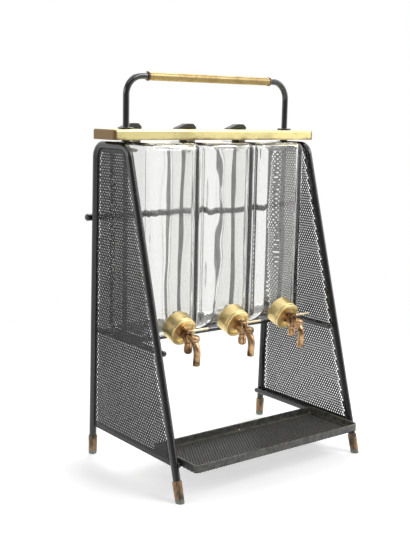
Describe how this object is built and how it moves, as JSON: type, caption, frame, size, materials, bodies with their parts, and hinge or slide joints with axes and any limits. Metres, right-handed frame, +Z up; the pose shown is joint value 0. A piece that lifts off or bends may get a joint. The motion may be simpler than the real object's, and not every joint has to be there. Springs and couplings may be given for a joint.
{
  "type": "cocktail dispenser",
  "caption": "Free-standing drink dispenser: glass tanks with quarter-turn taps between perforated side frames, with carrying handle and drip tray.",
  "frame": {"origin": "centre of the overall bounding box in plan, on the plane of the four feet", "axes": "+Z up along the tallest extent, +Y from the tap side to the rear, +X to the right seen from the tap side"},
  "size_m": [0.2822, 0.1944, 0.4301],
  "materials": {
    "frame_lacquer": "satin charcoal lacquer, lightly worn",
    "tray_steel": "satin dark grey lacquer with rubbed edges",
    "black_gloss": "gloss black enamel",
    "bar_brass": "brushed pale brass sheet",
    "bar_wood": "plain hardwood",
    "grip_brass": "brushed golden brass tube",
    "collar_brass": "polished brass",
    "cap_brass": "satin golden brass",
    "tap_bronze": "bronze patina, satin",
    "lever_brass": "worn bronze",
    "ferrule_brass": "dull aged brass",
    "rivet_brass": "polished brass",
    "rod_steel": "blackened steel",
    "nut_steel": "plated steel",
    "seal_rubber": "matte black",
    "stopper_rubber": "satin black",
    "tank_glass": "clear thick moulded glass"
  },
  "bodies": {
    "dispenser": {"bottle_shelf": "frame_lacquer", "bottom_rail_left": "frame_lacquer", "bottom_rail_right": "frame_lacquer", "cap_gasket_centre": "seal_rubber", "cap_gasket_left": "seal_rubber", "cap_gasket_right": "seal_rubber", "ferrule_front_left": "ferrule_brass", "ferrule_front_right": "ferrule_brass", "ferrule_rear_left": "ferrule_brass", "ferrule_rear_right": "ferrule_brass", "glass_tank_centre": "tank_glass", "glass_tank_left": "tank_glass", "glass_tank_right": "tank_glass", "grip_collars": "collar_brass", "handle_bar": "black_gloss", "handle_flange_left": "black_gloss", "handle_flange_right": "black_gloss", "handle_grip": "grip_brass", "lock_nuts": "rod_steel", "mid_rail_left": "frame_lacquer", "mid_rail_right": "frame_lacquer", "perforated_panel_left": "frame_lacquer", "perforated_panel_right": "frame_lacquer", "rear_crossbar": "frame_lacquer", "screw_cap_centre": "cap_brass", "screw_cap_left": "cap_brass", "screw_cap_right": "cap_brass", "shelf_nuts": "rod_steel", "side_frame_left": "frame_lacquer", "side_frame_right": "frame_lacquer", "tail_nut_centre": "nut_steel", "tail_nut_left": "nut_steel", "tail_nut_right": "nut_steel", "tap_body_centre": "tap_bronze", "tap_body_left": "tap_bronze", "tap_body_right": "tap_bronze", "tie_rod_1": "rod_steel", "tie_rod_2": "rod_steel", "tie_rod_3": "rod_steel", "tie_rod_4": "rod_steel", "top_bar_cladding": "bar_brass", "top_bar_core": "bar_wood", "tray_floor": "tray_steel", "tray_rim": "tray_steel", "tray_rivets": "rivet_brass"},
    "tap_key_left": {"tap_plug_left": "tap_bronze", "tap_lever_left": "lever_brass", "plug_nut_left": "tap_bronze"},
    "tap_key_centre": {"tap_plug_centre": "tap_bronze", "tap_lever_centre": "lever_brass", "plug_nut_centre": "tap_bronze"},
    "tap_key_right": {"tap_plug_right": "tap_bronze", "tap_lever_right": "lever_brass", "plug_nut_right": "tap_bronze"},
    "stopper_body_left": {"stopper_left": "stopper_rubber"},
    "stopper_body_centre": {"stopper_centre": "stopper_rubber"},
    "stopper_body_right": {"stopper_right": "stopper_rubber"}
  },
  "joints": [
    {"name": "tap_turn_left", "type": "hinge", "parent": "dispenser", "child": "tap_key_left", "pos_m": [-0.075, -0.02458, 0.15265], "axis": [0, 0, -1], "range_deg": [0, 90]},
    {"name": "tap_turn_centre", "type": "hinge", "parent": "dispenser", "child": "tap_key_centre", "pos_m": [0, -0.02458, 0.15265], "axis": [0, 0, -1], "range_deg": [0, 90]},
    {"name": "tap_turn_right", "type": "hinge", "parent": "dispenser", "child": "tap_key_right", "pos_m": [0.075, -0.02458, 0.15265], "axis": [0, 0, -1], "range_deg": [0, 90]},
    {"name": "stopper_lift_left", "type": "slide", "parent": "dispenser", "child": "stopper_body_left", "axis": [0, 0, 1], "range_m": [0, 0.03]},
    {"name": "stopper_lift_centre", "type": "slide", "parent": "dispenser", "child": "stopper_body_centre", "axis": [0, 0, 1], "range_m": [0, 0.03]},
    {"name": "stopper_lift_right", "type": "slide", "parent": "dispenser", "child": "stopper_body_right", "axis": [0, 0, 1], "range_m": [0, 0.03]}
  ]
}
